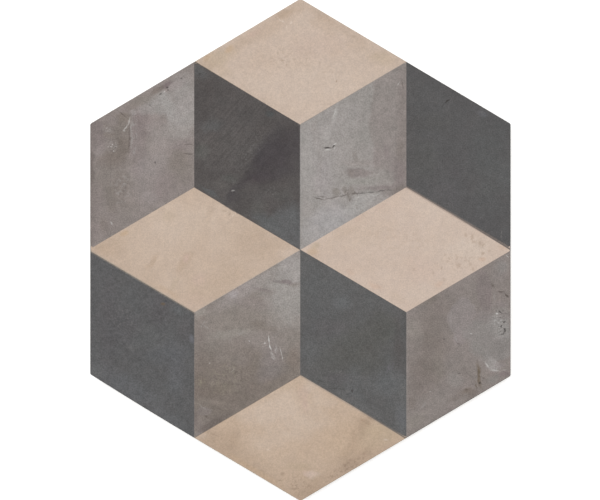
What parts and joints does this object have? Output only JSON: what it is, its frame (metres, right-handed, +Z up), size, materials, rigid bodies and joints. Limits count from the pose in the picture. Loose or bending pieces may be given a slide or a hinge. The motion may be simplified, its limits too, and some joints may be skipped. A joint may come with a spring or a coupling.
{
  "type": "floor tile",
  "caption": "Hexagonal matt porcelain floor tile with a printed tumbling-block pattern, rounded arris, tapered foot and honeycomb-keyed back for bedding in mortar.",
  "frame": {"origin": "middle of the back, on the plane of its crests, where the tile lies on a level bed", "axes": "+Z up through the tile to its walking face; +Y towards one of its two points; +X square to one of its two straight sides"},
  "size_m": [0.2, 0.2386, 0.009],
  "materials": {
    "printed_porcelain": "matt cement-look print on fired porcelain"
  },
  "bodies": {
    "root": {"tile": "printed_porcelain"}
  },
  "joints": []
}
